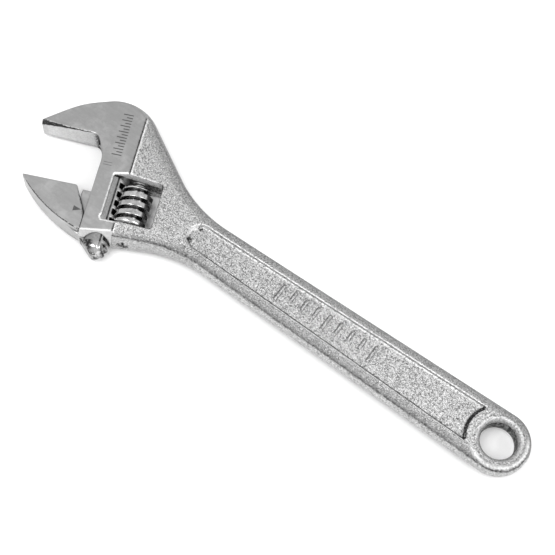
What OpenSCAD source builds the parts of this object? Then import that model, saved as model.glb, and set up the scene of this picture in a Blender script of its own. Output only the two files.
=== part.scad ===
// Adjustable wrench, 250 mm size.
// Frame: origin at the hanging hole's centre on the mid-plane, +X along the handle towards the
// head, +Y towards the movable jaw's side, +Z out of the front face. Millimetres.
// The head has its own frame: it starts where the fixed jaw's face meets the throat line, x runs
// towards the jaw tips, and y is the direction in which the jaw opens.

/* [Handle] */
// Thickness of the handle
handle_t = 11; // [9:0.5:12]
// Half width of the handle at the hanging hole
handle_half_w = 14.3; // [13:0.1:15]
// Loss of half width per mm towards the head
handle_taper = 0.0196; // [0.01:0.002:0.025]
// Distance from the hanging hole to the handle's end
handle_end = 14.2; // [13.8:0.1:15]
// Radius of the hanging hole's straight wall
hole_r = 7.8; // [6:0.1:8.2]
// Radius of the hanging hole's flared rim
hole_rim_r = 9.7; // [8.8:0.1:10.2]
// Length of the hanging hole's straight wall
hole_wall = 5; // [3:0.5:6]
// Width of the raised rim around the handle's panel
rim_w = 5.2; // [4:0.1:6]
// Depth of the panel below the rim
panel_depth = 1.2; // [0.5:0.1:2]

/* [Head] */
// Angle between the handle and the jaws' direction
head_angle = 22.5; // [15:0.5:25]
// Thickness of the head at its thickest line
head_t = 15.6; // [15:0.1:17]
// Step from the rough forging down to the ground face
ground_step = 0.35; // [0.1:0.05:0.5]
// Thickness of the jaws at their tips
tip_t = 11; // [9:0.5:12]
// Reach of the fixed jaw beyond the throat line
jaw_reach = 31.5; // [29:0.5:33]
// Distance from the fixed jaw's face to the head's lower end
head_end = 50.2; // [49:0.1:52]

/* [Movable jaw] */
// Opening between the jaws as drawn
opening = 27; // [22:0.1:29.9]
// Diameter of the jaw's round shank
shank_d = 12; // [11.6:0.1:12.2]
// Radial play of the shank in its bore
shank_play = 0.1; // [0.05:0.01:0.1]
// Thickness of the web between shank and jaw
web_t = 6.4; // [5:0.1:7]
// Play of the web in its slot, each side
web_play = 0.1; // [0.05:0.01:0.2]

/* [Adjusting worm] */
// Outer diameter of the worm
worm_d = 15.4; // [15:0.1:15.4]
// Length of the worm
worm_l = 18.7; // [17:0.1:18.9]
// Pitch of the worm's single thread and of the rack
pitch = 4.4; // [4.2:0.05:4.6]
// Diameter of the pin's axle
axle_d = 4; // [3:0.1:4.2]
// Diameter of the pin's threaded head
pin_head_d = 5.5; // [5:0.1:5.8]
// Radial play of the worm on the axle and of the axle in its hole
axle_play = 0.05; // [0.02:0.01:0.08]
// Diameter of the spring's wire
wire_d = 0.8; // [0.6:0.1:0.9]

/* [Hidden] */

STEEL = [0.72, 0.73, 0.74];
GROUND_STEEL = [0.66, 0.67, 0.68];
BRIGHT_STEEL = [0.82, 0.83, 0.84];

head_pos = [217.8, -15.4, 0];   // head frame's origin: fixed jaw's face on the throat line
step_x = -14.5;                 // line where the ground face ends and the rough forging starts
taper_end_x = -58;              // line where the head has thinned to the handle's thickness
neck_low = 27.5;                // slope of the neck's lower side in the main frame
neck_top = -29.9;               // slope of the neck's upper side in the main frame
neck_top_end = [-23.1, -7, 0];  // point of the head where the neck's upper side ends
neck_low_r = 57;
neck_top_r = 60;
handle_end_r = 13.9;            // radius of the two corners at the handle's end
panel_end = 160.5;              // head end of the handle's panel
panel_boss_r = 14;              // wall around the hanging hole, where the panel stops
tick_h = 0.5;                   // height of the raised gauge marks in the panel
tick_w = 1;
tick_first = 64;
tick_gap = 6;
ticks = 9;

window_x = [-30.3, -7.8];       // opening for the worm, right through the head
window_y = [17.4, 40.2];
shank_x = -7.8;                 // axis of the shank and its bore
shank_y = [18.3, 57.5];         // ends of the shank at the opening of 27 mm
bore_end = -9.5;                // blind end of the shank's bore
slot_end = -1;
slot_x = 8;                     // side of the web's slot under the fixed jaw's face
shank_chamfer = 0.6;
shank_dome = 3.7;                // length of the shank's domed lower end
rack_root_x = -11.1;            // bottom of the rack's notches
rack_first = 17.9;              // centre of the first notch at the opening of 27 mm
base_opening = 27;              // opening at which the worm's thread meets the rack's notches
rack_notches = 9;
notch_root_w = 2.6;
notch_tip_w = 3.1;
jaw_gap = 0.15;                 // play between the jaw's shoulder and the throat
side_r = 9;                     // radius of the bulged sides, seen along an edge
side_levels = [7.85, 6.2, 3.7, 0, -3.7, -6.2, -7.85];

worm_x = -19.1;                 // axis of the worm and its pin
worm_y = [window_y[1] - 0.25 - worm_l, window_y[1] - 0.25];
worm_root_r = 5;
thread_crest_w = 2.1;
thread_root_w = 2.7;
worm_chamfer = 0.5;
spring_pocket_r = 3.9;
spring_pocket = 8;              // depth of the spring's pocket in the worm's upper end
spring_r = 3;                   // radius of the coil's centre line
spring_turns = 6;
spring_gap = 0.05;
pin_y = [9.6, 47.3];            // ends of the pin
pin_head_y = 41;                // where the axle meets the threaded head
pin_slot_w = 1;
pin_slot_depth = 1.3;

arc_step = 7.5;                 // degrees between the points of an outline's arcs
turn_steps = 32;                // points in one turn of a helix

// Corner of the head frame in the main frame, with its radius and bulge kept
function on_head(p) = [
    head_pos[0] + p[0] * cos(head_angle) - p[1] * sin(head_angle),
    head_pos[1] + p[0] * sin(head_angle) + p[1] * cos(head_angle),
    p[2],
    p[3]
];

function unit(v) = v / norm(v);
function flat(p) = [p[0], p[1]];

// Arc that rounds the corner b between a and c with the radius b[2]
function corner_arc(a, b, c) =
    let (u = unit(flat(a) - flat(b)),
         v = unit(flat(c) - flat(b)),
         half = acos(u * v) / 2,
         centre = flat(b) + unit(u + v) * b[2] / sin(half),
         from = flat(b) + u * b[2] / tan(half) - centre,
         side = sign(u[0] * v[1] - u[1] * v[0]),
         turn = -side * (180 - 2 * half),
         n = max(1, ceil(abs(turn) / arc_step - 0.01)))
    [for (i = [0:n])
        let (t = turn * i / n)
        centre + [from[0] * cos(t) - from[1] * sin(t), from[0] * sin(t) + from[1] * cos(t)]];

// Outline through corners [x, y, radius]
function rounded(ps) =
    let (n = len(ps))
    [for (i = [0:n - 1])
        each corner_arc(ps[(i + n - 1) % n], ps[i], ps[(i + 1) % n])];

// Left-hand normal of the edge from a to b
function normal(a, b) = let (u = unit(flat(b) - flat(a))) [-u[1], u[0]];

// Corner b with its two edges moved inwards by d0 and d1; convex radii shrink, hollow ones grow
function inset_corner(a, b, c, d0, d1) =
    let (n0 = normal(a, b),
         n1 = normal(b, c),
         det = n0[0] * n1[1] - n0[1] * n1[0],
         q = [(d0 * n1[1] - d1 * n0[1]) / det, (d1 * n0[0] - d0 * n1[0]) / det])
    [b[0] + q[0], b[1] + q[1], max(0.2, b[2] - sign(det) * min(d0, d1))];

// Counter-clockwise corners [x, y, radius, bulge] with each edge moved in by d times the bulge
// of the corner that it starts from
function inset(ps, d) =
    let (n = len(ps))
    [for (i = [0:n - 1])
        let (h = (i + n - 1) % n)
        inset_corner(ps[h], ps[i], ps[(i + 1) % n], d * ps[h][3], d * ps[i][3])];

// Half width of the handle at x
function half_w(x) = handle_half_w - handle_taper * x;

// Crossing of the handle's edge (side -1 or 1) with a line of the given slope through p
function neck_corner(side, p, slope) =
    let (x = (side * handle_half_w - p[1] + tan(slope) * p[0]) / (tan(slope) + side * handle_taper))
    [x, side * half_w(x)];

neck_low_corner = neck_corner(1, on_head([0, head_end, 0]), neck_low);
neck_top_corner = neck_corner(-1, on_head(neck_top_end), neck_top);

// Corners of the body's widest outline, counter-clockwise: x, y, radius, and how much the side
// that follows bulges between the two faces
body_corners = [
    [-handle_end, -half_w(-handle_end), handle_end_r, 1],
    [neck_top_corner[0], neck_top_corner[1], neck_top_r, 1],
    on_head([-9.5, -24.6, 19, 0.6]),
    on_head([17.2, -13.8, 45, 0.35]),
    on_head([jaw_reach, -2.5, 0.5, 0]),
    on_head([jaw_reach, 0, 0.4, 0]),
    on_head([4.7, 0, 4, 0]),
    on_head([0, 9.64, 16, 0]),
    on_head([0, head_end, 1, 0.8]),
    [neck_low_corner[0], neck_low_corner[1], neck_low_r, 1],
    [-handle_end, half_w(-handle_end), handle_end_r, 1],
];

// Outline of the movable jaw in the head frame
jaw_corners = [
    [32.6, opening, 0.6],
    [19, opening + 14.2, 68],
    [jaw_gap, opening + 21.3, 0.8],
    [jaw_gap, opening + 12.8, 14],
    [6.8, opening, 1.5],
];

// Half thickness of the ground faces at x in the head frame
function ground_z(x) =
    let (z0 = head_t / 2 - ground_step)
    z0 - (x - step_x) / (jaw_reach - step_x) * (z0 - tip_t / 2);

module in_head() {
    translate(head_pos) rotate([0, 0, head_angle]) children();
}

// Cylinder along the head frame's y axis, with its axis at x on the mid-plane
module along_y(x, y0, y1, r) {
    translate([x, y0, 0]) rotate([-90, 0, 0]) cylinder(r = r, h = y1 - y0, $fn = 64);
}

// Slab between the two faces, in the head frame, seen from the side; it covers the whole object
module faces(rough) {
    far = 60;
    zs = ground_z(step_x);
    zt = ground_z(far);
    zr = head_t / 2;
    zh = handle_t / 2;
    upper = rough
        ? [[-260, zh], [taper_end_x, zh], [step_x, zr], [step_x, zs], [far, zt]]
        : [[-260, zs], [step_x, zs], [far, zt]];
    lower = [for (i = [len(upper) - 1:-1:0]) [upper[i][0], -upper[i][1]]];
    in_head()
        translate([0, 160, 0]) rotate([90, 0, 0])
            linear_extrude(height = 260) polygon(concat(upper, lower));
}

// Recess in one face of the handle, drawn on the mid-plane
module panel_outline() {
    end_w = half_w(panel_end) - rim_w;
    start_w = half_w(0) - rim_w;
    difference() {
        polygon(rounded([
            [6, -start_w, 0.5],
            [panel_end, -end_w, end_w - 0.2],
            [panel_end, end_w, end_w - 0.2],
            [6, start_w, 0.5],
        ]));
        circle(r = panel_boss_r, $fn = 96);
    }
}

module panels() {
    floor_z = handle_t / 2 - panel_depth;
    for (side = [0, 1])
        mirror([0, 0, side])
            translate([0, 0, floor_z])
                difference() {
                    linear_extrude(height = 5) panel_outline();
                    gauge_marks();
                }
}

// Raised gauge marks on the panel's floor, every fourth one long
module gauge_marks() {
    for (i = [0:ticks - 1])
        let (l = i % 4 == 0 ? 8 : 5)
        translate([tick_first + i * tick_gap - tick_w / 2, -4, -1])
            cube([tick_w, l, 1 + tick_h]);
}

module hanging_hole() {
    rim = handle_t / 2;
    wall = hole_wall / 2;
    cylinder(r = hole_r, h = 2 * handle_t, center = true, $fn = 96);
    for (side = [0, 1])
        mirror([0, 0, side])
            translate([0, 0, wall])
                cylinder(r1 = hole_r, r2 = hole_rim_r, h = rim - wall + 0.001, $fn = 96);
}

// Everything that is machined into the head
module head_cuts() {
    r = shank_d / 2 + shank_play;
    slot = web_t / 2 + web_play;
    in_head() {
        along_y(shank_x, bore_end, head_end + 8, r);
        translate([shank_x, slot_end, -slot])
            cube([slot_x - shank_x, head_end + 8 - slot_end, 2 * slot]);
        translate([window_x[0], window_y[0], -head_t])
            cube([window_x[1] - window_x[0], window_y[1] - window_y[0], 2 * head_t]);
        along_y(worm_x, pin_y[0] - 0.3, window_y[0] + 1, axle_d / 2 + axle_play);
        along_y(worm_x, window_y[1] - 1, head_end + 8, pin_head_d / 2 + axle_play);
    }
}

// Forged handle and head in one piece with the fixed jaw
module body() {
    color(STEEL)
        difference() {
            intersection() {
                level_skin([for (z = side_levels)
                    [for (p = rounded(inset(body_corners, side_r - sqrt(side_r * side_r - z * z))))
                        [p[0], p[1], z]]]);
                faces(true);
            }
            panels();
            hanging_hole();
            head_cuts();
        }
}

// One notch of the rack, slanted like the worm's thread
module rack_notch(y) {
    tip_x = shank_x - shank_d / 2 - 1;
    slant = atan(pitch / (PI * (worm_d - 2)));
    depth = rack_root_x - tip_x;
    grow = (notch_tip_w - notch_root_w) / 2 * depth / (depth - 1);
    translate([0, y, 0])
        rotate([slant, 0, 0])
            translate([0, 0, -shank_d])
                linear_extrude(height = 2 * shank_d)
                    polygon([
                        [rack_root_x, -notch_root_w / 2],
                        [rack_root_x, notch_root_w / 2],
                        [tip_x, notch_root_w / 2 + grow],
                        [tip_x, -notch_root_w / 2 - grow],
                    ]);
}

// Round shank with its rack and a domed end, along the head frame's y axis. The end is cut off
// along the web's slanted edge.
module shank() {
    r = shank_d / 2;
    c = shank_chamfer;
    l = shank_y[1] - shank_y[0];
    dome = shank_dome;
    shift = opening - base_opening;
    difference() {
        translate([shank_x, shank_y[0] + shift, 0]) rotate([-90, 0, 0])
            rotate_extrude($fn = 64)
                polygon([
                    [0, 0], [r - c, 0], [r, c],
                    [r, l - dome], [r * 0.77, l - dome * 0.43], [r / 3, l],
                    [0, l],
                ]);
        for (i = [0:rack_notches - 1])
            rack_notch(rack_first + i * pitch + shift);
        translate([0, 0, -shank_d]) linear_extrude(height = 2 * shank_d)
            polygon([
                [0.6, opening + 22.4], [shank_x + 0.8, opening + 29.6],
                [shank_x - 1.8, opening + 32.1], [0.6, opening + 32.1],
            ]);
    }
}

// Jaw, web and toothed shank in one piece. The web's lower edge slants from the jaw's outer
// corner to the shank's end.
module movable_jaw() {
    web_low = shank_y[1] - 0.2 + opening - base_opening;
    color(GROUND_STEEL) {
        intersection() {
            in_head() translate([0, 0, -head_t]) linear_extrude(height = 2 * head_t)
                polygon(rounded(jaw_corners));
            faces(false);
        }
        in_head() {
            translate([0, 0, -web_t / 2]) linear_extrude(height = web_t)
                polygon([
                    [10, opening], [shank_x, opening], [shank_x - 1.8, web_low],
                    [shank_x + 0.8, web_low - 0.7], [0.6, opening + 22.4], [10, opening + 17],
                ]);
            shank();
        }
    }
}

// Points of a helix's cross-section at turn t: a trapezoid that reaches past the worm's outside
function thread_ring(t, phase, r_in, r_out, w_in, w_out) =
    let (a = 360 * t + phase, y = pitch * t)
    [for (p = [[r_in, -w_in / 2], [r_out, -w_out / 2], [r_out, w_out / 2], [r_in, w_in / 2]])
        [p[0] * cos(a), y + p[1], -p[0] * sin(a)]];

// Twice the area of the triangle a, b, c; positive when it runs counter-clockwise
function area2(a, b, c) = (b[0] - a[0]) * (c[1] - a[1]) - (b[1] - a[1]) * (c[0] - a[0]);

// Whether the corner k of the outline ids is convex with no other point of it inside
function is_ear(ps, ids, k) =
    let (n = len(ids),
         a = ps[ids[(k + n - 1) % n]],
         b = ps[ids[k]],
         c = ps[ids[(k + 1) % n]])
    area2(a, b, c) > 0 &&
    len([for (i = [2:n - 2])
        let (q = ps[ids[(k + i) % n]])
        if (area2(a, b, q) >= 0 && area2(b, c, q) >= 0 && area2(c, a, q) >= 0) 1]) == 0;

function next_ear(ps, ids, k) = is_ear(ps, ids, k % len(ids)) ? k % len(ids) : next_ear(ps, ids, k + 1);

// Triangles that fill a counter-clockwise outline, cut off one ear after another from corner k on
function ears(ps, ids, k) =
    let (n = len(ids))
    n == 3 ? [ids] :
    let (e = next_ear(ps, ids, k),
         rest = [for (i = [0:n - 1]) if (i != e) ids[i]])
    concat([[ids[(e + n - 1) % n], ids[e], ids[(e + 1) % n]]], ears(ps, rest, e + 1));

// Triangles between rings of m points each
function strips(n, m) =
    [for (i = [0:n - 2], j = [0:m - 1])
        let (a = i * m + j, b = i * m + (j + 1) % m)
        each [[a, b, b + m], [a, b + m, a + m]]];

// Closed skin over level rings of equal point counts, counter-clockwise, from the top one down
module level_skin(rings) {
    m = len(rings[0]);
    n = len(rings);
    cap = ears(rings[0], [for (j = [0:m - 1]) j], 0);
    top = [for (t = cap) [t[2], t[1], t[0]]];
    bottom = [for (t = cap) [t[0] + (n - 1) * m, t[1] + (n - 1) * m, t[2] + (n - 1) * m]];
    polyhedron(points = [for (ring = rings) each ring], faces = concat(strips(n, m), top, bottom),
        convexity = 10);
}

// Closed skin over convex rings of equal point counts
module skin(rings) {
    m = len(rings[0]);
    n = len(rings);
    caps = concat([[for (j = [m - 1:-1:0]) j]], [[for (j = [0:m - 1]) (n - 1) * m + j]]);
    polyhedron(points = [for (ring = rings) each ring], faces = concat(strips(n, m), caps),
        convexity = 10);
}

// Right-hand thread round the y axis, longer than the worm at both ends. A crest faces the rack
// at each notch's centre.
module thread() {
    r_out = worm_d / 2 + 0.6;
    r_in = worm_root_r - 0.5;
    depth = worm_d / 2 - worm_root_r;
    slope = (thread_root_w - thread_crest_w) / depth;
    w_out = thread_crest_w - 0.6 * slope;
    w_in = thread_root_w + 0.5 * slope;
    turns = ceil(worm_l / pitch) + 2;
    start = rack_first - worm_y[0] - pitch;
    rings = [for (i = [0:turns * turn_steps])
        thread_ring(i / turn_steps, 0, r_in, r_out, w_in, w_out)];
    translate([0, start, 0]) skin(rings);
}

// Adjusting worm, bored for the pin, with a pocket for the spring in its upper end
module worm() {
    r = worm_d / 2;
    c = worm_chamfer;
    color(BRIGHT_STEEL)
        in_head() translate([worm_x, worm_y[0], 0])
            difference() {
                union() {
                    rotate([-90, 0, 0]) cylinder(r = worm_root_r, h = worm_l, $fn = 64);
                    intersection() {
                        rotate([-90, 0, 0])
                            rotate_extrude($fn = 64)
                                polygon([
                                    [0, 0], [r - c, 0], [r, c],
                                    [r, worm_l - c], [r - c, worm_l], [0, worm_l],
                                ]);
                        thread();
                    }
                }
                rotate([-90, 0, 0]) translate([0, 0, -1])
                    cylinder(r = axle_d / 2 + axle_play, h = worm_l + 2, $fn = 64);
                rotate([-90, 0, 0]) translate([0, 0, -1])
                    cylinder(r = spring_pocket_r, h = spring_pocket + 1, $fn = 64);
            }
}

// Axle with a slotted, threaded head that screws into the head's lower wall
module worm_pin() {
    color(BRIGHT_STEEL)
        in_head()
            difference() {
                union() {
                    along_y(worm_x, pin_y[0], pin_head_y + 0.5, axle_d / 2);
                    along_y(worm_x, pin_head_y, pin_y[1], pin_head_d / 2);
                }
                translate([worm_x - pin_slot_w / 2, pin_y[1] - pin_slot_depth, -pin_head_d])
                    cube([pin_slot_w, 2 * pin_slot_depth, 2 * pin_head_d]);
            }
}

// Compression spring round the pin, between the window's wall and the pocket's floor
module worm_spring() {
    sides = 8;
    r = wire_d / 2;
    low = window_y[0] + spring_gap + r;
    high = worm_y[0] + spring_pocket - spring_gap - r;
    steps = spring_turns * 20;
    rings = [for (i = [0:steps])
        let (a = 360 * spring_turns * i / steps, y = (high - low) * i / steps)
        [for (j = [0:sides - 1])
            let (b = 360 * j / sides, q = spring_r + r * cos(b))
            [q * cos(a), y + r * sin(b), -q * sin(a)]]];
    color(STEEL)
        in_head() translate([worm_x, low, 0]) skin(rings);
}

body();
movable_jaw();
worm();
worm_pin();
worm_spring();
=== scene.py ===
import math

import bpy
import numpy as np
from mathutils import Matrix, Vector


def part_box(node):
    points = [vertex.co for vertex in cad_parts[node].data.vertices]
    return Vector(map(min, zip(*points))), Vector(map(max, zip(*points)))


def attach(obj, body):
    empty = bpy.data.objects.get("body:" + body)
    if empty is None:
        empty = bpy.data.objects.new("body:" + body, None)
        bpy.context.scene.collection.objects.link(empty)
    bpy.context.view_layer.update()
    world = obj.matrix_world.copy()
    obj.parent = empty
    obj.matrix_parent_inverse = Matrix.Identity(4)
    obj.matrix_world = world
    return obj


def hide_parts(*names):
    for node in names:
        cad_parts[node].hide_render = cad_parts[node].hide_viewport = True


# Adjustable wrench. Shapes are signed distances in millimetres, in the row's frame, and each is turned into a
# mesh of small quads that lie on it. The head has its own frame: origin where the fixed jaw's face meets the
# throat line, x towards the jaw tips, y in the direction in which the jaw opens.

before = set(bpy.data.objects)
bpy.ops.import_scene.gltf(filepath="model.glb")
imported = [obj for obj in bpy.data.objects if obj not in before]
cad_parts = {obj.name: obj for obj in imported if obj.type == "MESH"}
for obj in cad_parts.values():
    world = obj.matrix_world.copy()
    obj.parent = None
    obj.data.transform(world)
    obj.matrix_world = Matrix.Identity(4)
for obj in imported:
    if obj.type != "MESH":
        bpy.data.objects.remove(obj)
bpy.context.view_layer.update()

MM = 0.001

# ---------------------------------------------------------------- main dimensions, mm
HEAD_AT = (217.8, -15.4)        # origin of the head's frame
HEAD_ANGLE = math.radians(22.5)
OPENING = 27.0                  # between the jaws, as drawn

HANDLE_Z = 5.5                  # half thickness of the handle
HANDLE_W = 14.3                 # half width at the hanging hole
HANDLE_TAPER = 0.0196           # loss of half width for each mm towards the head
HANDLE_END = 14.2               # from the hanging hole's middle to the handle's end
HANDLE_END_R = 13.9
HEAD_Z = 7.8                    # half thickness at the head's thickest line
HEAD_END = 50.2                 # lower end of the head
NECK_LOW_SLOPE = 27.5           # degrees between the neck's lower side and the handle
NECK_TOP_SLOPE = -29.9
NECK_TOP_END = (-23.1, -7.0)    # where the neck's upper side ends on the head
GROUND_Z = 7.45                 # half thickness just past the step, on the ground face
STEP_X = -14.5                  # step from the rough forging to the ground face
TAPER_END_X = -58.0             # where the head has thinned to the handle's thickness
TIP_X = 31.5
TIP_Z = 5.5                     # half thickness at the tips
SIDE_R = 9.0                    # radius of the bulged sides
CREASE = 1.9                    # depth below the face at which the rough shoulder meets the smooth side
BEVEL = 1.7                     # width of the bevel on the fixed jaw's front edge, at the tip
BEVEL_START = 6.0               # where that bevel begins

WINDOW_X = (-30.3, -7.8)        # opening for the worm
WINDOW_END = 40.2
LIP = 0.7                       # chamfer round the window

HOLE_R = 7.8                    # hanging hole
HOLE_FLARE = 1.9                # how far the hole's rim flares
HOLE_WALL = 2.2                 # half length of its straight wall

PANEL_END = 160.5
PANEL_RIM = 5.2                 # width of the rim beside the panel
PANEL_Z = 4.3                   # half thickness at the panel's floor
PANEL_BOSS = 14.0               # radius of the wall round the hole, where the panel stops
TICK_FIRST = 64                 # raised gauge marks, every fourth one long
TICK_GAP = 6
TICKS = 9

SHANK_X = -7.8                  # axis of the shank and its bore
SHANK_R = 6.0
SHANK_Y = (18.3, 57.4)
BORE_END = -9.5                 # blind end of the bore
WEB_Z = 3.2                     # half thickness of the web between shank and jaw
SLOT_X = 5.0                    # side of the web's slot under the fixed jaw's face
SLOT_END = -1.0
PLAY = 0.1                      # between the shank and web and what they slide in
RACK_ROOT_X = -11.1             # bottom of the rack's notches
RACK_FIRST = 17.9               # middle of the first notch
RACK_NOTCHES = 9
PITCH = 4.4                     # of the rack and of the worm's thread

WORM_X = -19.1                  # axis of the worm, its pin and spring
WORM_R = 7.7
WORM_CORE_R = 5.0
WORM_Y = (21.25, 39.95)
AXLE_R = 2.0
AXLE_PLAY = 0.05
PIN_Y = (9.6, 47.3)
PIN_HEAD_R = 2.75
PIN_HEAD_Y = 41.0               # where the axle meets the threaded head
POCKET_R = 3.9                  # the spring's pocket in the worm
POCKET_DEPTH = 8.0
SPRING_Y = (17.85, 28.8)
SPRING_TURNS = 6
SPRING_R = 3.0
WIRE_R = 0.4

DIAGONAL = 0.707                # keeps the distance to a 45 degree chamfer true


# ---------------------------------------------------------------- distances
def to_head(x, y):
    c, s = math.cos(HEAD_ANGLE), math.sin(HEAD_ANGLE)
    dx, dy = x - HEAD_AT[0], y - HEAD_AT[1]
    return dx * c + dy * s, dy * c - dx * s


def from_head(x, y):
    c, s = math.cos(HEAD_ANGLE), math.sin(HEAD_ANGLE)
    return HEAD_AT[0] + x * c - y * s, HEAD_AT[1] + x * s + y * c


def smax(a, b, k):
    """The larger of two distances, with the edge between them rounded over about k."""
    h = np.maximum(k - np.abs(a - b), 0) / k
    return np.maximum(a, b) + h * h * k / 4


def smin(a, b, k):
    """The smaller of two distances, with the corner between them filled over about k."""
    return -smax(-a, -b, k)


def ramp(v, lo, hi):
    """Smooth rise from 0 at lo to 1 at hi; lo may be the larger."""
    t = np.clip((v - lo) / (hi - lo), 0, 1)
    return t * t * (3 - 2 * t)


class Outline:
    """Closed outline through counter-clockwise corners (x, y, radius); calling it gives signed distances."""

    def __init__(self, corners):
        n = len(corners)
        self.arcs, self.lines = [], []
        ends = []
        for i in range(n):
            a, b, c = (np.array(corners[j % n][:2], float) for j in (i - 1, i, i + 1))
            r = corners[i][2]
            u, v = (a - b) / np.linalg.norm(a - b), (c - b) / np.linalg.norm(c - b)
            half = math.acos(np.clip(u @ v, -1, 1)) / 2
            bisector = (u + v) / np.linalg.norm(u + v)
            centre = b + bisector * r / math.sin(half)
            side = 1 if u[0] * v[1] - u[1] * v[0] < 0 else -1
            self.arcs.append((centre, -bisector, math.cos(math.pi / 2 - half + 1e-4), r, side))
            reach = r / math.tan(half)
            ends.append((b + u * reach, b + v * reach))
        for i in range(n):
            start, end = ends[i][1], ends[(i + 1) % n][0]
            length = np.linalg.norm(end - start)
            self.lines.append((start, (end - start) / length, length))

    def __call__(self, x, y):
        best = np.full(np.broadcast(x, y).shape, 1e3)
        for centre, way, cosine, r, side in self.arcs:
            dx, dy = x - centre[0], y - centre[1]
            rho = np.hypot(dx, dy)
            d = side * (rho - r)
            ok = (dx * way[0] + dy * way[1] >= rho * cosine) & (np.abs(d) < np.abs(best))
            best = np.where(ok, d, best)
        for start, way, length in self.lines:
            dx, dy = x - start[0], y - start[1]
            t = dx * way[0] + dy * way[1]
            d = dx * way[1] - dy * way[0]
            ok = (t >= -1e-4) & (t <= length + 1e-4) & (np.abs(d) < np.abs(best))
            best = np.where(ok, d, best)
        return best


def on_head(x, y, r):
    return (*from_head(x, y), r)


def half_w(x):
    """Half width of the handle."""
    return HANDLE_W - HANDLE_TAPER * x


def crossing(side, p, slope):
    """Where the handle's edge on one side meets a line of the given slope through p."""
    m = math.tan(math.radians(slope))
    x = (side * HANDLE_W - p[1] + m * p[0]) / (m + side * HANDLE_TAPER)
    return x, side * half_w(x)


neck_low = crossing(1, from_head(0, HEAD_END), NECK_LOW_SLOPE)
neck_top = crossing(-1, from_head(*NECK_TOP_END), NECK_TOP_SLOPE)

# the forging's widest outline, closed in front of the mouth
OUTER = Outline([
    (-HANDLE_END, -half_w(-HANDLE_END), HANDLE_END_R),
    (*neck_top, 60),
    on_head(-9.5, -24.6, 19),
    on_head(17.2, -13.8, 45),
    on_head(45, 8.1, 4),
    on_head(45, 55.4, 4),
    (*neck_low, 57),
    (-HANDLE_END, half_w(-HANDLE_END), HANDLE_END_R),
])

# the space in front of the tips, jaw face and throat
MOUTH = Outline([
    (0, 75, 1),
    (0, 9.64, 16),
    (4.7, 0, 4),
    (TIP_X, 0, 0.3),
    (TIP_X, -12, 0.3),
    (60, -12, 1),
    (60, 75, 1),
])

WINDOW = Outline([
    (WINDOW_X[0], 18.2, 1.2),
    (-14.5, 16.8, 3),
    (WINDOW_X[1], 18.2, 0.7),
    (WINDOW_X[1], WINDOW_END, 0.7),
    (WINDOW_X[0], WINDOW_END, 1.2),
])

PANEL = Outline([
    (4, -half_w(4) + PANEL_RIM, 0.5),
    (PANEL_END, -half_w(PANEL_END) + PANEL_RIM, 5.6),
    (PANEL_END, half_w(PANEL_END) - PANEL_RIM, 5.6),
    (4, half_w(4) - PANEL_RIM, 0.5),
])

JAW = Outline([
    (32.6, OPENING, 0.5),
    (19, OPENING + 14.2, 68),
    (0.15, OPENING + 21.3, 0.9),
    (0.15, OPENING + 12.8, 14),
    (6.8, OPENING, 1.3),
])

WEB = Outline([
    (10, OPENING + 0.1, 0.3),
    (10, OPENING + 17, 0.3),
    (0.6, OPENING + 22.3, 2.5),
    (-7, OPENING + 29.5, 2.5),
    (-9.4, OPENING + 30.2, 0.8),
    (-9.4, OPENING + 0.1, 2),
])


def ground_z(hx):
    """Half thickness of the ground faces."""
    return GROUND_Z - (hx - STEP_X) / (TIP_X - STEP_X) * (GROUND_Z - TIP_Z)


def forged_z(hx):
    """Half thickness of the rough faces: the head thins down to the handle."""
    return smax(HEAD_Z + (hx - STEP_X) / (STEP_X - TAPER_END_X) * (HEAD_Z - HANDLE_Z), HANDLE_Z, 0.8)


def bevel_width(hx):
    """Width of the bevel on the fixed jaw's front edge, which grows towards the tip."""
    t = np.clip((hx - BEVEL_START) / (TIP_X - BEVEL_START), 0, 1)
    return BEVEL * (0.4 * t + 0.6 * t**3)


def along_y(hx, z, x, r):
    """Endless cylinder along the head frame's y axis."""
    return np.hypot(hx - x, z) - r


def gauge_marks(x, y, az):
    """Raised marks on the panel's floor."""
    i = np.clip(np.round((x - TICK_FIRST) / TICK_GAP), 0, TICKS - 1)
    long = (i % 4) == 0
    middle, half = np.where(long, 0.0, -1.5), np.where(long, 4.0, 2.5)
    tick = smax(np.abs(x - TICK_FIRST - i * TICK_GAP) - 0.5, np.abs(y - middle) - half, 0.4)
    return smax(tick, az - PANEL_Z - 0.5, 0.4)


def head_holes(hx, hy, z):
    """Bore for the shank, slot for the web and the pin's two holes, each with its edge's rounding."""
    bore = smax(along_y(hx, z, SHANK_X, SHANK_R + PLAY), BORE_END - hy, 0.3)
    across = np.abs(hx - (SHANK_X + SLOT_X) / 2) - (SLOT_X - SHANK_X) / 2
    slot = np.maximum(np.maximum(np.abs(z) - WEB_Z - PLAY, across), SLOT_END - hy)
    axle_hole = np.maximum(along_y(hx, z, WORM_X, AXLE_R + AXLE_PLAY), np.maximum(9.3 - hy, hy - 22))
    pin_head_hole = np.maximum(along_y(hx, z, WORM_X, PIN_HEAD_R + AXLE_PLAY), 38 - hy)
    return (bore, 0.35), (slot, 0.35), (axle_hole, 0.2), (pin_head_hole, 0.5)


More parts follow.
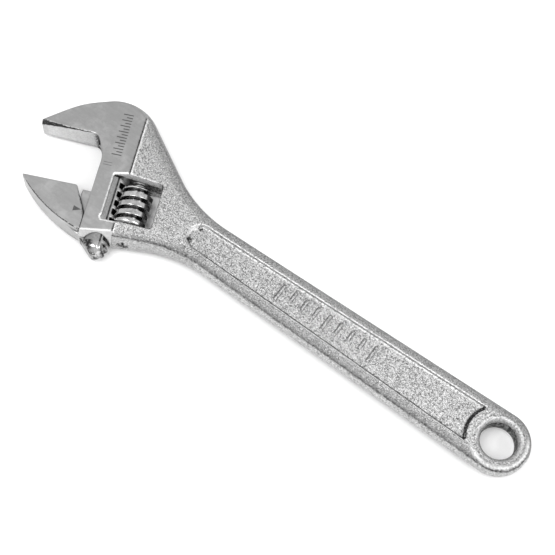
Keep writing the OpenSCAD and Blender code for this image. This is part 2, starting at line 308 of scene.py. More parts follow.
def body_shape(x, y, z):
    """Handle, head and fixed jaw in one forging."""
    hx, hy = to_head(x, y)
    az = np.abs(z)

    # bulged sides, flatter towards the jaw's back
    bulge = 1 - 0.65 * ramp(hx, -22, 14) * ramp(hy, 12, -6)
    root = np.sqrt(np.maximum(SIDE_R**2 - z * z, 4))
    side = (OUTER(x, y) + bulge * (SIDE_R - root)) / np.sqrt(1 + (bulge * z / root) ** 2)

    # crisp edges on the ground part, broad shoulders on the forging, a groove between the two
    step = ramp(hx, STEP_X - 0.15, STEP_X + 0.15)
    face = az - forged_z(hx) * (1 - step) - ground_z(hx) * step
    face += 0.25 * np.clip(1 - np.abs(hx - STEP_X - 0.3) / 0.35, 0, 1)
    d = smax(side, face, 2.8 - 2.4 * ramp(hx, STEP_X - 6, STEP_X + 1))
    rim = CREASE - (forged_z(hx) - az)
    band = ramp(side, -0.9, -0.3) * (1 - step) * ramp(rim, 0.25, -0.05) * ramp(y, -1, 1)
    d = d + 0.16 * band

    # mouth, with the bevel that runs along the jaw face's front edge and fades out before the throat
    d = smax(d, -MOUTH(hx, hy), 0.35)
    bevelled = smax(d, (hy + z - ground_z(hx) + bevel_width(hx)) * DIAGONAL, 0.25)
    d = np.where((hy < 6) & (hx > BEVEL_START), bevelled, d)

    # panels with raised gauge marks
    depth = HANDLE_Z - az
    ends = ramp(x, PANEL_END - 6, PANEL_END)
    panel = smax(PANEL(x, y) + (0.2 + 0.5 * ends) * depth, PANEL_BOSS - np.hypot(x, y) + 1.1 * depth, 1.6)
    recess = smax(panel, PANEL_Z - az, 0.4)
    d = smax(d, -recess, 0.5)
    d = smin(d, gauge_marks(x, y, az), 0.4)

    # hanging hole
    flare = np.clip((az - HOLE_WALL) / (HANDLE_Z - HOLE_WALL), 0, 1.2)
    d = smax(d, (HOLE_R + HOLE_FLARE * flare**2 - np.hypot(x, y)) * 0.75, 0.5)

    # window for the worm, its lip wider on the ground face and widest at the lower end
    outside = WINDOW(hx, hy)
    lip = LIP * (0.45 + (0.55 + 0.8 * ramp(hy, 38, 39.5)) * ramp(hx, -17, -14))
    d = smax(d, (face + lip - np.maximum(outside, 0)) * DIAGONAL, 0.2)
    d = smax(d, -outside, 0.3)
    for hole, rounding in head_holes(hx, hy, z):
        d = smax(d, -hole, rounding)
    return d


def rack_cut(hx, hy, z):
    """The rack's notches, slanted like the worm's thread, and the groove scribed along their ends."""
    slant = math.atan(PITCH / (math.pi * (2 * WORM_R - 2)))
    i = np.clip(np.round((hy - RACK_FIRST + z * math.tan(slant)) / PITCH), 0, RACK_NOTCHES - 1)
    across = (hy - RACK_FIRST - i * PITCH) * math.cos(slant) + z * math.sin(slant)
    half = 1.3 + 0.25 * np.clip((RACK_ROOT_X - hx) / 2.7, 0, 1.2)
    notch = smax(np.abs(across) - half, hx - RACK_ROOT_X, 0.4)
    rise = np.hypot(hx - SHANK_X, z) - SHANK_R + 0.55
    scribed = np.abs(hx - RACK_ROOT_X - 1.0) - 0.7 * rise
    return np.minimum(notch, scribed)


def jaw_shape(x, y, z):
    """Lower jaw, web and toothed shank in one piece."""
    hx, hy = to_head(x, y)
    az = np.abs(z)
    d = smax(JAW(hx, hy), az - ground_z(hx), 0.35)
    # the web's corner beside the jaw's face is cut back, to pass the throat's round corner
    corner = np.minimum(hx - SLOT_X + 0.4, OPENING + 9 - hy)
    web = smax(smax(WEB(hx, hy), corner, 0.3), az - WEB_Z, 0.5)
    d = smin(d, web, 0.5)

    # round shank with a domed end, which is cut off along the web's slanted edge
    r = np.hypot(hx - SHANK_X, z)
    shank = smax(r - SHANK_R, SHANK_Y[0] - hy, 0.8)
    dome = 0.615 * r + 0.788 * (hy - SHANK_Y[1]) - 1.1
    shank = smax(smax(shank, dome, 1.2), hy - SHANK_Y[1], 0.6)
    shank = smax(shank, (hx + hy - OPENING - 22.5) * DIAGONAL, 0.4)
    shank = smax(shank, -rack_cut(hx, hy, z), 0.3)
    return smin(d, shank, 0.3)


def worm_shape(x, y, z):
    """Single thread on a core, with the axle's bore and the spring's pocket."""
    hx, hy = to_head(x, y)
    dx = hx - WORM_X
    r = np.hypot(dx, z)
    u = hy - RACK_FIRST - PITCH * np.arctan2(-z, dx) / (2 * math.pi)
    u = np.abs(u - PITCH * np.round(u / PITCH))
    half = 1.5 - 0.3 * (r - WORM_CORE_R) / (WORM_R - WORM_CORE_R)
    thread = smax((u - half) * 0.95, r - WORM_R, 0.22)
    d = smin(thread, r - WORM_CORE_R, 0.4)
    middle, length = sum(WORM_Y) / 2, WORM_Y[1] - WORM_Y[0]
    d = smax(d, np.abs(hy - middle) - length / 2, 0.4)
    d = smax(d, (r - WORM_R + np.abs(hy - middle) - length / 2 + 0.9) * DIAGONAL, 0.4)
    d = smax(d, AXLE_R + AXLE_PLAY - r, 0.3)
    return smax(d, -smax(r - POCKET_R, hy - WORM_Y[0] - POCKET_DEPTH, 0.3), 0.3)


def pin_shape(x, y, z):
    """Axle with a threaded, slotted head."""
    hx, hy = to_head(x, y)
    r = np.hypot(hx - WORM_X, z)
    axle = smax(r - AXLE_R, np.maximum(PIN_Y[0] - hy, hy - PIN_HEAD_Y - 0.5), 0.5)
    thread = 0.16 * np.abs(np.sin((hy * math.pi / 0.8) + np.arctan2(z, hx - WORM_X) / 2))
    middle, half = (PIN_HEAD_Y + PIN_Y[1]) / 2, (PIN_Y[1] - PIN_HEAD_Y) / 2
    head = smax(r - PIN_HEAD_R + thread * ramp(hy, 46.4, 45.8), np.abs(hy - middle) - half, 0.5)
    slot = np.maximum(np.abs(hx - WORM_X) - 0.5, PIN_Y[1] - 1.3 - hy)
    return smax(smin(axle, head, 0.3), -slot, 0.2)


def spring_shape(x, y, z):
    """Coil round the axle, inside the worm's pocket."""
    hx, hy = to_head(x, y)
    lo, hi = SPRING_Y
    dx = hx - WORM_X
    r = np.hypot(dx, z)
    pitch = (hi - lo) / SPRING_TURNS
    phase = np.arctan2(-z, dx) / (2 * math.pi)
    k = np.clip(np.round((hy - lo) / pitch - phase), 0, SPRING_TURNS - 1)
    near = lo + (np.clip(phase + k, 0, SPRING_TURNS)) * pitch
    return np.hypot(r - SPRING_R, (hy - near) * 0.98) - WIRE_R


# ---------------------------------------------------------------- meshing
def moved(p, axis, by):
    """Coordinates of the points p, each moved along one axis."""
    q = [p[:, 0], p[:, 1], p[:, 2]]
    q[axis] = p[:, axis] + by
    return q


def gradient(shape, p, h=0.02):
    g = np.empty_like(p)
    for axis in range(3):
        g[:, axis] = (shape(*moved(p, axis, h)) - shape(*moved(p, axis, -h))) / (2 * h)
    return g


def sample(shape, lo, hi, step):
    """Distances on a grid over the box."""
    n = [int(math.ceil((hi[i] - lo[i]) / step)) + 1 for i in range(3)]
    axes = [lo[i] + step * np.arange(n[i]) for i in range(3)]
    d = np.empty(n, np.float32)
    flat_x, flat_y = np.meshgrid(axes[0], axes[1], indexing="ij")
    for k, z in enumerate(axes[2]):
        d[:, :, k] = shape(flat_x, flat_y, np.full_like(flat_x, z))
    return d


def crossed_cells(inside):
    """Grid cells that the surface crosses, and an array that gives each one's number, or -1."""
    n = inside.shape
    corners = [inside[i:n[0] - 1 + i, j:n[1] - 1 + j, k:n[2] - 1 + k]
               for i in (0, 1) for j in (0, 1) for k in (0, 1)]
    count = sum(c.astype(np.int8) for c in corners)
    cells = np.argwhere((count > 0) & (count < 8))
    index = np.full([m - 1 for m in n], -1, np.int64)
    index[tuple(cells.T)] = np.arange(len(cells))
    return cells, index


def cell_points(d, cells):
    """For each cell, in grid steps, the middle of the places where its edges cross the surface."""
    total = np.zeros((len(cells), 3))
    hits = np.zeros(len(cells))
    for axis in range(3):
        others = [a for a in range(3) if a != axis]
        for i in (0, 1):
            for j in (0, 1):
                a = cells.copy()
                a[:, others[0]] += i
                a[:, others[1]] += j
                b = a.copy()
                b[:, axis] += 1
                da, db = d[tuple(a.T)], d[tuple(b.T)]
                crossed = (da < 0) != (db < 0)
                t = np.where(crossed, da / np.where(crossed, da - db, 1), 0)
                point = a.astype(float)
                point[:, axis] += t
                total += point * crossed[:, None]
                hits += crossed
    return total / hits[:, None]


def cell_faces(inside, index):
    """A quad round each grid edge that the surface crosses."""
    quads = []
    for axis in range(3):
        u, v = (axis + 1) % 3, (axis + 2) % 3
        a = np.moveaxis(inside, (axis, u, v), (0, 1, 2))
        grid = np.moveaxis(index, (axis, u, v), (0, 1, 2))
        i, j, k = np.nonzero(a[:-1, 1:-1, 1:-1] != a[1:, 1:-1, 1:-1])
        q = np.stack([grid[i, j, k], grid[i, j + 1, k], grid[i, j + 1, k + 1], grid[i, j, k + 1]], 1)
        flip = ~a[i, j + 1, k + 1]
        q[flip] = q[flip][:, ::-1]
        quads.append(q)
    return np.concatenate(quads)


def settle(shape, p, longest):
    """Moves the points onto the surface."""
    for _ in range(3):
        g = gradient(shape, p)
        size = np.maximum((g * g).sum(1), 0.2)
        move = g * (shape(*p.T) / size)[:, None]
        length = np.linalg.norm(move, axis=1)
        p -= move * np.minimum(1, longest / np.maximum(length, 1e-9))[:, None]


def mesh_of(name, shape, lo, hi, step):
    """Surface-nets mesh of shape == 0 inside the box: an object, and its vertices in mm."""
    d = sample(shape, lo, hi, step)
    inside = d < 0
    cells, index = crossed_cells(inside)
    p = np.array(lo) + step * cell_points(d, cells)
    settle(shape, p, 0.5 * step)
    quads = cell_faces(inside, index)

    mesh = bpy.data.meshes.new(name)
    mesh.vertices.add(len(p))
    mesh.vertices.foreach_set("co", (p * MM).ravel())
    mesh.loops.add(quads.size)
    mesh.loops.foreach_set("vertex_index", quads.ravel())
    mesh.polygons.add(len(quads))
    mesh.polygons.foreach_set("loop_start", np.arange(0, quads.size, 4))
    mesh.update(calc_edges=True)
    mesh.validate()
    mesh.polygons.foreach_set("use_smooth", np.ones(len(mesh.polygons), bool))
    obj = bpy.data.objects.new(name, mesh)
    bpy.context.collection.objects.link(obj)
    return obj, p


def attribute(obj, name, values):
    """Number at each vertex, which the piece's material reads."""
    a = obj.data.attributes.new(name, "FLOAT", "POINT")
    a.data.foreach_set("value", np.asarray(values, np.float32))


def bend_of(shape, p, h=0.5):
    """How convex (+) or hollow (-) the surface is."""
    total = -6 * shape(*p.T)
    for axis in range(3):
        for by in (-h, h):
            total = total + shape(*moved(p, axis, by))
    return np.clip(total / (h * h), -3, 3)


# ---------------------------------------------------------------- materials
class Nodes:
    """Short way to add and link the nodes of a material."""

    def __init__(self, name):
        self.material = bpy.data.materials.new(name)
        self.material.use_nodes = True
        self.tree = self.material.node_tree
        self.bsdf = self.tree.nodes["Principled BSDF"]

    def put(self, socket, value):
        if isinstance(value, bpy.types.NodeSocket):
            self.tree.links.new(value, socket)
        else:
            socket.default_value = value

    def add(self, kind, inputs, out=0, **settings):
        node = self.tree.nodes.new(kind)
        for key, value in settings.items():
            setattr(node, key, value)
        for key, value in inputs.items():
            self.put(node.inputs[key], value)
        return node.outputs[out]

    def math(self, op, a, b=0.0, clamp=False):
        return self.add("ShaderNodeMath", {0: a, 1: b}, operation=op, use_clamp=clamp)

    def place(self):
        """Place on the object, in metres."""
        return self.add("ShaderNodeTexCoord", {}, out="Object")

    def scaled(self, vector, scale):
        return self.add("ShaderNodeMapping", {"Vector": vector, "Scale": scale})

    def dot(self, vector, way):
        return self.add("ShaderNodeVectorMath", {0: vector, 1: way}, out="Value", operation="DOT_PRODUCT")

    def value_of(self, name):
        return self.add("ShaderNodeAttribute", {}, out="Fac", attribute_name=name)

    def noise(self, vector, scale, detail, rough):
        return self.add("ShaderNodeTexNoise",
                        {"Vector": vector, "Scale": scale, "Detail": detail, "Roughness": rough}, out="Fac")

    def fit(self, value, lo, hi, to_lo=0.0, to_hi=1.0):
        return self.add("ShaderNodeMapRange",
                        {"Value": value, "From Min": lo, "From Max": hi, "To Min": to_lo, "To Max": to_hi})

    def mix(self, fac, a, b):
        """Mix of two numbers."""
        return self.add("ShaderNodeMix", {0: fac, 2: a, 3: b}, out=0, data_type="FLOAT")

    def tint(self, fac, a, b):
        """Mix of two colours."""
        return self.add("ShaderNodeMix", {0: fac, 6: a, 7: b}, out=2, data_type="RGBA")

    def bump(self, height, distance, normal=None):
        inputs = {"Height": height, "Distance": distance, "Strength": 1.0}
        if normal is not None:
            inputs["Normal"] = normal
        return self.add("ShaderNodeBump", inputs)


def grey(v):
    return (v, v, v, 1)


def head_place(n, at):
    """x and y in the head's frame, in metres."""
    c, s = math.cos(HEAD_ANGLE), math.sin(HEAD_ANGLE)
    x0, y0 = to_head(0, 0)
    return (n.math("ADD", n.dot(at, (c, s, 0)), x0 * MM), n.math("ADD", n.dot(at, (-s, c, 0)), y0 * MM))


def stripe(n, v, middle, half, soft=0.06):
    """1 where v is within half of the middle, both in mm."""
    away = n.math("ABSOLUTE", n.math("SUBTRACT", v, middle * MM))
    return n.fit(away, (half + soft) * MM, (half - soft) * MM)


def either(n, *masks):
    """The largest of several masks."""
    out = masks[0]
    for m in masks[1:]:
        out = n.math("MAXIMUM", out, m)
    return out


def scale_marks(n, hx, hy):
    """Etched row of long and short lines beside the throat, and two lines for the jaw's arrow."""
    rows = []
    for middle, half, pitch, low in ((-6.0, 2.3, 3.0, -12.5), (-6.9, 1.4, 3.0, -11.0)):
        t = n.math("PINGPONG", n.math("SUBTRACT", hy, low * MM), pitch / 2 * MM)
        line = n.fit(t, 0.32 * MM, 0.2 * MM)
        rows.append(n.math("MULTIPLY", line, stripe(n, hx, middle, half)))
    row = n.math("MULTIPLY", either(n, *rows), stripe(n, hy, -2.0, 10.9))
    pair = n.math("MULTIPLY", stripe(n, hx, -3.4, 2.0),
                  either(n, stripe(n, hy, 13.1, 0.16), stripe(n, hy, 14.4, 0.16)))
    return either(n, row, n.math("MULTIPLY", pair, 0.7))


def arrow_mark(n, hx, hy):
    """Etched arrow that points at the throat."""
    along = n.fit(hx, 1.6 * MM, 5.2 * MM)
    width = n.math("MULTIPLY", along, 1.3 * MM)
    off = n.math("ABSOLUTE", n.math("SUBTRACT", hy, (OPENING + 11.6) * MM))
    inside = n.fit(n.math("SUBTRACT", off, width), 0.06 * MM, -0.06 * MM)
    return n.math("MULTIPLY", inside, stripe(n, hx, 3.5, 1.8))


def grinding(n, at):
    """Faint lines left by grinding, as a number from 0 to 1."""
    fine = n.noise(n.scaled(at, (300, 3600, 3600)), 1, 3, 0.6)
    wide = n.noise(n.scaled(at, (90, 700, 700)), 1, 2, 0.5)
    return n.mix(0.4, fine, wide)


def ground_tone(n, at, lines, marks):
    """Clouded grey of the ground steel, with dark specks and etched marks."""
    cloud = n.noise(at, 130, 5, 0.7)
    tone = n.tint(n.fit(lines, 0.35, 0.65), grey(0.37), grey(0.42))
    tone = n.tint(n.math("MULTIPLY", n.fit(cloud, 0.48, 0.66), 0.5), tone, grey(0.57))
    tone = n.tint(n.math("MULTIPLY", n.fit(cloud, 0.44, 0.34), 0.4), tone, grey(0.36))
    specks = n.math("MULTIPLY", n.fit(n.noise(at, 2600, 2, 0.5), 0.66, 0.72), 0.5)
    tone = n.tint(specks, tone, grey(0.25))
    etched = n.fit(n.noise(at, 3000, 2, 0.5), 0.3, 0.5, 0.7, 0.95)
    return n.tint(n.math("MULTIPLY", marks, etched), tone, grey(0.1))


def wear_and_painted_light(n, tone, at):
    """Painted shade, painted highlights and painted reflections from the piece's attributes, with some wear
    and oxide: darker shoulders, bright edges and dark creases.
    """
    blotch = n.fit(n.noise(at, 1100, 3, 0.75), 0.4, 0.58, 0.15, 1)
    shaded = n.fit(blotch, 0, 1, 0.75, 0.3)
    # painted shade, and darker oxide, from the shade attribute
    tone = n.tint(n.math("MULTIPLY", n.value_of("shade"), shaded), tone, grey(0.06))
    rubbed_and_highlit = n.fit(blotch, 0.15, 1, 1, 0.5)
    # painted highlights, and edges bright from wear, from the light attribute
    tone = n.tint(n.math("MULTIPLY", n.value_of("light"), rubbed_and_highlit), tone, grey(0.95))
    specks = n.fit(n.noise(at, 2300, 2, 0.6), 0.6, 0.67, 0, 0.8)
    tone = n.tint(n.math("MULTIPLY", n.value_of("shade"), specks, clamp=True), tone, grey(0.8))
    # painted shade and painted reflections from the dark attribute
    return n.tint(n.math("MULTIPLY", n.value_of("dark"), blotch), tone, grey(0.04))


def forged_material():
    """Satin chrome over a blasted forging; the ground faces are finer."""
    n = Nodes("forged_satin_chrome")
    n.put(n.bsdf.inputs["Specular Tint"], grey(0.45))
    n.put(n.bsdf.inputs["Specular IOR Level"], 0.1)
    at = n.place()
    ground = n.value_of("ground")
    hx, hy = head_place(n, at)

    grain = n.noise(at, 1500, 3, 0.7)
    fine = n.noise(at, 3200, 2, 0.5)
    pits = n.fit(n.noise(at, 1100, 3, 0.6), 0.56, 0.66)
    rough_tone = n.tint(n.fit(grain, 0.4, 0.6), grey(0.2), grey(0.58))
    rough_tone = n.tint(n.math("MULTIPLY", n.fit(fine, 0.56, 0.64), 0.8), rough_tone, grey(0.9))
    rough_tone = n.tint(n.math("MULTIPLY", pits, 0.6), rough_tone, grey(0.1))

    lines = grinding(n, at)
    tone = n.tint(ground, rough_tone, ground_tone(n, at, lines, scale_marks(n, hx, hy)))
    # painted shade: darker in hollows, where bend is negative
    tone = n.tint(n.fit(n.value_of("bend"), -0.3, -1.5, 0, 0.7), tone, grey(0.1))
    n.put(n.bsdf.inputs["Base Color"], wear_and_painted_light(n, tone, at))
    n.put(n.bsdf.inputs["Metallic"], n.math("SUBTRACT", 1.0, n.value_of("matte")))
    rough = n.mix(ground, n.fit(grain, 0.3, 0.7, 0.3, 0.5), n.fit(lines, 0.3, 0.7, 0.32, 0.42))
    n.put(n.bsdf.inputs["Roughness"], rough)

    height = n.math("ADD", grain, n.math("MULTIPLY", fine, 0.4))
    height = n.math("SUBTRACT", height, n.math("MULTIPLY", pits, 0.5))
    coarse = n.bump(n.math("MULTIPLY", height, n.math("SUBTRACT", 1.0, ground)), 0.00025)
    n.put(n.bsdf.inputs["Normal"], n.bump(n.math("MULTIPLY", lines, ground), 0.00001, coarse))
    return n.material


def ground_material():
    """Fine-ground steel with faint lines."""
    n = Nodes("ground_steel")
    at = n.place()
    hx, hy = head_place(n, at)
    lines = grinding(n, at)
    tone = ground_tone(n, at, lines, arrow_mark(n, hx, hy))
    # painted shade: darker in hollows, where bend is negative
    tone = n.tint(n.fit(n.value_of("bend"), -0.3, -1.5, 0, 0.7), tone, grey(0.1))
    n.put(n.bsdf.inputs["Base Color"], wear_and_painted_light(n, tone, at))
    n.put(n.bsdf.inputs["Metallic"], 1.0)
    polish = n.math("MULTIPLY", n.value_of("polish"), -0.26)
    n.put(n.bsdf.inputs["Roughness"], n.math("ADD", n.fit(lines, 0.3, 0.7, 0.32, 0.42), polish))
    n.put(n.bsdf.inputs["Normal"], n.bump(lines, 0.00001))
    return n.material


def polished_material(name, light, dark, roughness):
    """Bright metal with a slight haze, with painted shade in hollows."""
    n = Nodes(name)
    at = n.place()
    bend = n.value_of("bend")
    haze = n.noise(at, 500, 4, 0.7)
    tone = n.tint(n.fit(haze, 0.35, 0.6), grey(light * 0.6), grey(light))
    # painted shade: darker in hollows, where bend is negative
    tone = n.tint(n.fit(bend, -0.2, -1.5, 0, 0.8), tone, grey(dark))
    n.put(n.bsdf.inputs["Base Color"], wear_and_painted_light(n, tone, at))
    n.put(n.bsdf.inputs["Metallic"], 1.0)
    n.put(n.bsdf.inputs["Roughness"], n.fit(haze, 0.3, 0.7, roughness * 0.8, roughness * 1.3))
    n.put(n.bsdf.inputs["Normal"], n.bump(haze, 0.00001))
    return n.material


# ---------------------------------------------------------------- pieces
def piece(name, shape, step, node, body, material):
    """Mesh of a shape in place of a CAD node: the object, and its vertices in mm."""
    margin = 1.2
    lo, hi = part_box(node)
    lo, hi = [v / MM - margin for v in lo], [v / MM + margin for v in hi]
    obj, p = mesh_of(name, shape, lo, hi, step * (1))
    attribute(obj, "bend", bend_of(shape, p))
    obj.data.materials.append(material)
    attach(obj, body)
    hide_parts(node)
    return obj, p


def bell(v, width):
    """1 where v is 0, fading out on both sides."""
    return np.exp(-(v / width) ** 2)


def normals(shape, p):
    g = gradient(shape, p)
    return g / np.maximum(np.linalg.norm(g, axis=1), 1e-6)[:, None]


class BodySurface:
    """The forging's vertices: where they lie, and how much each is on one of its surfaces.

    The tones below are painted by place. Some stand for wear and oxide. Many are painted shade in
    creases, grooves, corners and holes, and painted highlights on edges. Others stand in for one
    view's light and don't follow it: whatever uses far, the two bright faces, the glint at the
    handle's end, the bright wall at the panel's head end, back_edge and the throat's spot.
    """

    def __init__(self, p):
        self.x, self.y, self.z = p.T
        self.az = np.abs(self.z)
        self.hx, self.hy = to_head(self.x, self.y)
        self.up = np.abs(normals(body_shape, p)[:, 2])
        self.outline = OUTER(self.x, self.y)
        self.window = WINDOW(self.hx, self.hy)
        self.panel = PANEL(self.x, self.y)
        self.from_hole = np.hypot(self.x, self.y)
        self.depth = forged_z(self.hx) - self.az

        # far is 1 on the half away from the camera, where y is negative, and 0 on the other
        self.far = ramp(self.y, 1, -2)
        self.on_ground = ramp(self.hx, STEP_X - 0.1, STEP_X + 0.1)
        at_side = self.outline > -3.6
        self.shoulder = at_side * (self.up < 0.97) * (self.depth < CREASE + 0.1)
        self.side = at_side * (self.up < 0.8) * (self.depth > CREASE + 0.1)
        # crown: painted shade on the far side of the crown
        self.crown = 0.7 * at_side * (self.up < 0.8) * self.far * self.on_ground
        self.low_end = (self.outline > -4.2) * (self.hy > 44) * self.on_ground * (self.up < 0.98)
        self.jaw_face = (np.abs(self.hy) < 0.3) * (self.up < 0.5) * (self.hx > 4)
        self.top_wall = (self.window < 0.25) * (self.up < 0.3) * (self.hy < 19)
        self.top_wall = self.top_wall * (self.hx > WINDOW_X[0] + 0.6)
        self.end_wall = (self.window < 0.3) * (self.hx < WINDOW_X[0] + 0.8)


def body_shade(s):
    """Painted shade, with darker oxide on the rough forging: the panel's rims, rough shoulders, the far sides
    and some edges.
    """
    # rims: darker oxide and painted shade; the far half's rim is painted darker towards the outline
    near_rim = 0.8 * (1 - 0.6 * ramp(s.x, 12, 0))
    far_rim = (0.35 + 0.6 * ramp(s.outline, -3.6, -2.2)) * (1 - 0.5 * ramp(s.x, 6, -4))
    rim = near_rim + s.far * (far_rim - near_rim)
    rim = rim * (s.panel > 0.35) * (s.outline > -PANEL_RIM) * (s.up > 0.9)
    # painted shade on the far side
    far_side = s.far * s.side * ramp(s.az, 1.5, 2.5)
    # painted shade over the near shoulder below the window
    below_window = 0.4 * (s.outline > -6) * (s.y > 8) * (s.x > 150)
    # shoulders: darker oxide and painted shade
    rough = np.maximum.reduce([rim, 0.95 * s.shoulder, 0.95 * far_side, below_window, 0.9 * s.end_wall])
    # painted shade on the rounded edge of the head's lower end
    end_edge = 0.25 * s.low_end * (s.up > 0.7)
    # painted shade along the back edge of the fixed jaw's face, on one side only
    back_edge = 0.8 * (np.abs(s.hy) < 0.4) * (s.hx > 4) * (s.z < 1.6 - ground_z(s.hx))
    return np.maximum.reduce([rough * (1 - s.on_ground), end_edge, back_edge, s.crown])


def body_matte(s):
    """Dull where oxide is left, and on faces that are to look evenly lit."""
    oxide = (0.85 - 0.25 * s.far) * (np.maximum(s.shoulder, s.side) * (1 - s.on_ground) + s.crown)
    top_wall = 0.8 * s.top_wall * ramp(s.az, 2.5, 3.5)
    low_lip = 0.8 * (s.window < 2 * LIP) * (s.up > 0.2) * (s.up < 0.97) * (s.hy > 39.5) * s.on_ground
    return np.maximum.reduce([top_wall, oxide, low_lip, 0.7 * s.jaw_face, 0.7 * s.low_end])


def body_light(s):
    """Painted highlights: bright edges of window, panel, step and hole, partly from wear, and places lit in
    the one view.
    """
    face = np.where(s.hx > STEP_X, ground_z(s.hx), forged_z(s.hx))
    # painted highlight on the window's chamfered lip
    lip = (s.window < LIP * (1 + (s.hy > 39)) + 0.1) * (s.up > 0.2) * (s.up < 0.97)
    lip = lip * (s.az > face - 1.5) * ramp(s.hx, -30, -15)
    off_boss = s.from_hole > PANEL_BOSS + 1
    # painted highlight along the panel's top edge
    top_edge = (0.8 - 0.1 * s.far) * bell(s.panel - 0.15, 0.3) * (s.az > HANDLE_Z - 0.45) * off_boss
    # painted highlight on the wall at the panel's head end
    far_end = 1.5 * bell(s.panel + 0.3, 0.5) * ramp(s.x, PANEL_END - 8, PANEL_END - 4)
    far_end = far_end * (s.az > PANEL_Z + 0.2)
    # painted highlight at the far panel's foot
    far_foot = 0.75 * s.far * bell(s.panel + 0.7, 0.5) * (s.az < PANEL_Z + 0.8) * off_boss
    # painted light on the window's upper wall
    upper_wall = 0.6 * (np.abs(s.hy - 17.5) < 0.8) * (s.window < 0.4) * (s.up < 0.3)
    # painted highlight beside the step's groove
    beside_step = 1.2 * bell(s.hx - STEP_X + 0.45, 0.35) * (s.az > 6.9)
    # painted highlight on the hole's flared rim
    flare = 0.6 * bell(s.from_hole - HOLE_R - 1.3, 0.7) * (s.az > 3.6)
    end_glint = 0.8 * bell(s.from_hole - 12.3, 0.8) * (s.up > 0.5) * ramp(s.y - s.x, -2, 8) * ramp(s.x, 14, 6)
    # painted light: the near side slightly lighter
    near_side = 0.08 * s.side * (1 - s.far) * (1 - s.on_ground)
    # painted light on the head's low end and on the fixed jaw's face
    return np.maximum.reduce([
        lip, top_edge, far_foot, far_end, upper_wall, beside_step, flare, end_glint, near_side,
        0.3 * s.low_end, 0.45 * s.jaw_face])


def body_dark(s):
    """Painted shade in creases and grooves, corners, on the bevel and on the walls of holes; the crease line
    is partly the forging's own dark tone.
    """
    # crease: the dark line where the rough shoulder meets the smooth side, with painted shade, weaker on the
    # far half
    crease = (0.9 - 0.4 * s.far + 0.3 * ramp(s.x, 8, 0)) * bell(s.depth - CREASE + 0.2, 0.7)
    crease = crease * (s.outline > -2.4) * (1 - s.on_ground)
    # painted shade at the panel's foot
    foot_line = (1.0 - 0.8 * s.far) * bell(s.panel + 0.55, 0.25)
    foot_line = foot_line * (s.az < PANEL_Z + 0.35) * (s.az > PANEL_Z - 0.1) * (s.from_hole > PANEL_BOSS)
    # painted shade on the jaw's bevel
    bevel = np.abs(s.hy + s.z - ground_z(s.hx) + bevel_width(s.hx)) < 0.3
    bevel = 4.0 * bevel * (s.hy < 0.3) * (s.hx > 8) * (s.up < 0.95)
    # painted shade in the step's groove
    groove = 1.5 * bell(s.hx - STEP_X - 0.3, 0.3) * (s.az > 7)
    # painted shade on the wall round the hole's boss and on the hole's wall
    boss_wall = 2.2 * (np.abs(s.from_hole - PANEL_BOSS - 0.65) < 1.0) * (s.up < 0.93) * (s.outline < -3.9)
    bore_wall = 1.1 * (np.abs(s.from_hole - HOLE_R) < 0.5) * (s.az < 3.4)
    # painted shade in the panel's corners
    panel_corners = 3.0 * (bell(np.hypot(s.x - PANEL_END + 3, s.y + 3.8), 0.9)
                           + bell(np.hypot(s.x - PANEL_END + 1.8, s.y - 3.4), 0.9))
    # painted shade in the throat
    throat_spot = 1.3 * bell(np.hypot(s.hx - 5.2, s.hy - 0.6), 1.6) * (s.up < 0.4)
    # painted shade on the window's end wall and deep under its upper wall
    end_wall = 0.5 * s.end_wall * (s.up < 0.5)
    below_wall = 0.8 * s.top_wall * ramp(s.az, 3.5, 2.5)
    # painted shade in a ring round the hole's flare
    ring = 0.7 * bell(s.from_hole - HOLE_R - HOLE_FLARE - 0.9, 0.25) * (s.up > 0.9)
    # painted shade at the window's lower end
    window_foot = 3.0 * bell(s.window, 0.3) * (s.hy > 39) * (s.hx < -15) * (s.up > 0.3)
    return np.maximum.reduce([
        crease, foot_line, bevel, groove, boss_wall, bore_wall, window_foot, panel_corners, ring,
        throat_spot, end_wall, below_wall])


def paint_jaw(jaw, p):
    """Painted shade on edges and in notches, and painted bands that stand in for reflections on the domed
    end.
    """
    z = p[:, 2]
    hx, hy = to_head(p[:, 0], p[:, 1])
    from_axis = np.hypot(hx - SHANK_X, z)
    on_shank = (from_axis < SHANK_R + 0.1) * (hx < 0)
    dome = on_shank * ramp(hy, 50.8, 51.2)

    # painted shade along the jaw's outer ridge
    ridge = 1.6 * bell(np.abs(z) - ground_z(hx) + 0.1, 0.3) * (JAW(hx, hy) > -0.4)
    ridge = ridge * ramp(hy, OPENING + 2, OPENING + 5) * (hx > 0.8)
    # painted shade in the rack's notches and in the scribed groove
    in_notch = 4.0 * on_shank * (hx < RACK_ROOT_X + 0.3) * (from_axis < SHANK_R - 0.3) * (hy < 50.5)
    scribed = 2.0 * bell(hx - RACK_ROOT_X - 1.0, 0.3) * on_shank * (1 - dome)
    reflections = np.maximum(bell(hx - SHANK_X - 2.8, 1.6), bell(hx - SHANK_X + 4.6, 0.8))
    reflections = 3.0 * dome * reflections * (hx + hy < OPENING + 22)
    # painted shade along the cut edge and at the dome's end
    cut_edge = 2.0 * bell(hx + hy - OPENING - 22.6, 0.6) * (hy > 50.4)
    dome_end = 1.2 * dome * bell(hy - 57.0, 1.0) * (z > -4)
    attribute(jaw, "dark", np.maximum.reduce([ridge, in_notch, scribed, reflections, cut_edge, dome_end]))
    # painted highlight on the domed end
    attribute(jaw, "light", 0.5 * dome * bell(hx - SHANK_X + 1.8, 1.6))
    # darker on the shank beside the rack, away from the domed end
    attribute(jaw, "shade", 0.5 * on_shank * (1 - dome) * ramp(hx, RACK_ROOT_X + 1.1, RACK_ROOT_X + 1.4))
    attribute(jaw, "polish", dome)


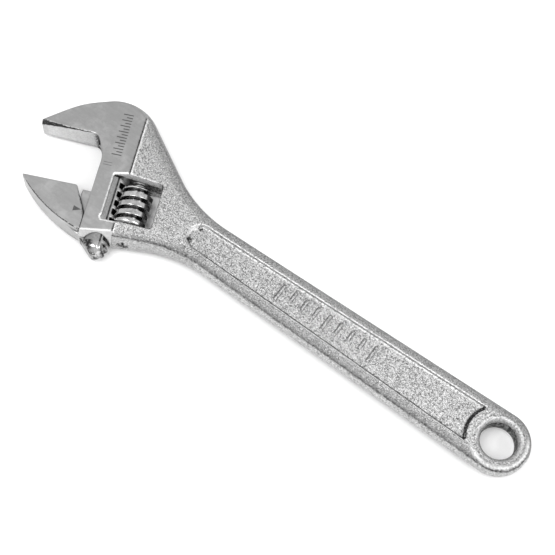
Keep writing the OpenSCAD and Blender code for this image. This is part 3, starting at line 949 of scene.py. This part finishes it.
def paint_worm(worm, p):
    """Painted shade between the threads, and slightly shaded on their crests."""
    hx, _ = to_head(p[:, 0], p[:, 1])
    from_axis = np.hypot(hx - WORM_X, p[:, 2])
    attribute(worm, "dark", 0.95 * ramp(from_axis, WORM_R - 0.5, WORM_R - 2.2))
    attribute(worm, "shade", 0.35 * (from_axis > WORM_R - 0.12))


wrench, points = piece("wrench_body", body_shape, 0.36, "body", "body", forged_material())
surface = BodySurface(points)
attribute(wrench, "ground", surface.on_ground)
attribute(wrench, "shade", body_shade(surface))
attribute(wrench, "matte", body_matte(surface))
attribute(wrench, "light", body_light(surface))
attribute(wrench, "dark", body_dark(surface))

paint_jaw(*piece("lower_jaw", jaw_shape, 0.3, "movable_jaw", "jaw", ground_material()))
paint_worm(*piece("adjusting_worm", worm_shape, 0.16, "worm", "worm",
                  polished_material("polished_chrome", 0.8, 0.1, 0.16)))
piece("pivot_pin", pin_shape, 0.16, "worm_pin", "body",
      polished_material("turned_steel", 0.5, 0.08, 0.3))
piece("coil_spring", spring_shape, 0.14, "worm_spring", "body",
      polished_material("spring_wire", 0.42, 0.08, 0.35))

# ---------------------------------------------------------------- floor, light, camera
CAMERA_AT = (0.0066, 0.1991, 0.5336)    # metres
CAMERA_RIGHT = (-0.8144, -0.5779, 0.0531)
CAMERA_UP = (0.5480, -0.7357, 0.3981)
FLOOR_REACH = 3.0

floor_mesh = bpy.data.meshes.new("floor")
floor_corners = [(FLOOR_REACH * i, FLOOR_REACH * j, 0) for i, j in ((-1, -1), (1, -1), (1, 1), (-1, 1))]
floor_mesh.from_pydata(floor_corners, [], [(0, 1, 2, 3)])
floor = bpy.data.objects.new("floor", floor_mesh)
floor.location.z = -(HEAD_Z + 0.02) * MM
bpy.context.collection.objects.link(floor)
paper = Nodes("white_paper")
paper.put(paper.bsdf.inputs["Base Color"], grey(0.95))
paper.put(paper.bsdf.inputs["Roughness"], 0.9)
floor.data.materials.append(paper.material)

world = bpy.data.worlds.new("studio")
world.use_nodes = True
world.node_tree.nodes["Background"].inputs["Color"].default_value = (0.9, 0.9, 0.9, 1)
world.node_tree.nodes["Background"].inputs["Strength"].default_value = 0.88
bpy.context.scene.world = world


def softbox(name, at, target, size, power):
    """Square light at a place, turned towards its target."""
    light = bpy.data.lights.new(name, "AREA")
    light.shape = "RECTANGLE"
    light.size = light.size_y = size
    light.energy = power
    obj = bpy.data.objects.new(name, light)
    obj.location = at
    obj.rotation_euler = (Vector(target) - Vector(at)).to_track_quat("-Z", "Y").to_euler()
    bpy.context.collection.objects.link(obj)


middle = (0.13, 0.0, 0.0)
softbox("key", (0.25, 0.35, 1.0), middle, 0.6, 7)
softbox("fill", (-0.6, -0.2, 0.7), middle, 0.6, 4)

camera = bpy.data.cameras.new("camera")
camera.sensor_width = 36
camera.lens = 86.2
camera.clip_start = 0.01
viewer = bpy.data.objects.new("camera", camera)
right, up = Vector(CAMERA_RIGHT), Vector(CAMERA_UP)
back = right.cross(up).normalized()
turn = Matrix((right, up, back)).transposed().to_4x4()
viewer.matrix_world = Matrix.Translation(CAMERA_AT) @ turn
bpy.context.collection.objects.link(viewer)
bpy.context.scene.camera = viewer
bpy.context.scene.view_settings.view_transform = "Standard"
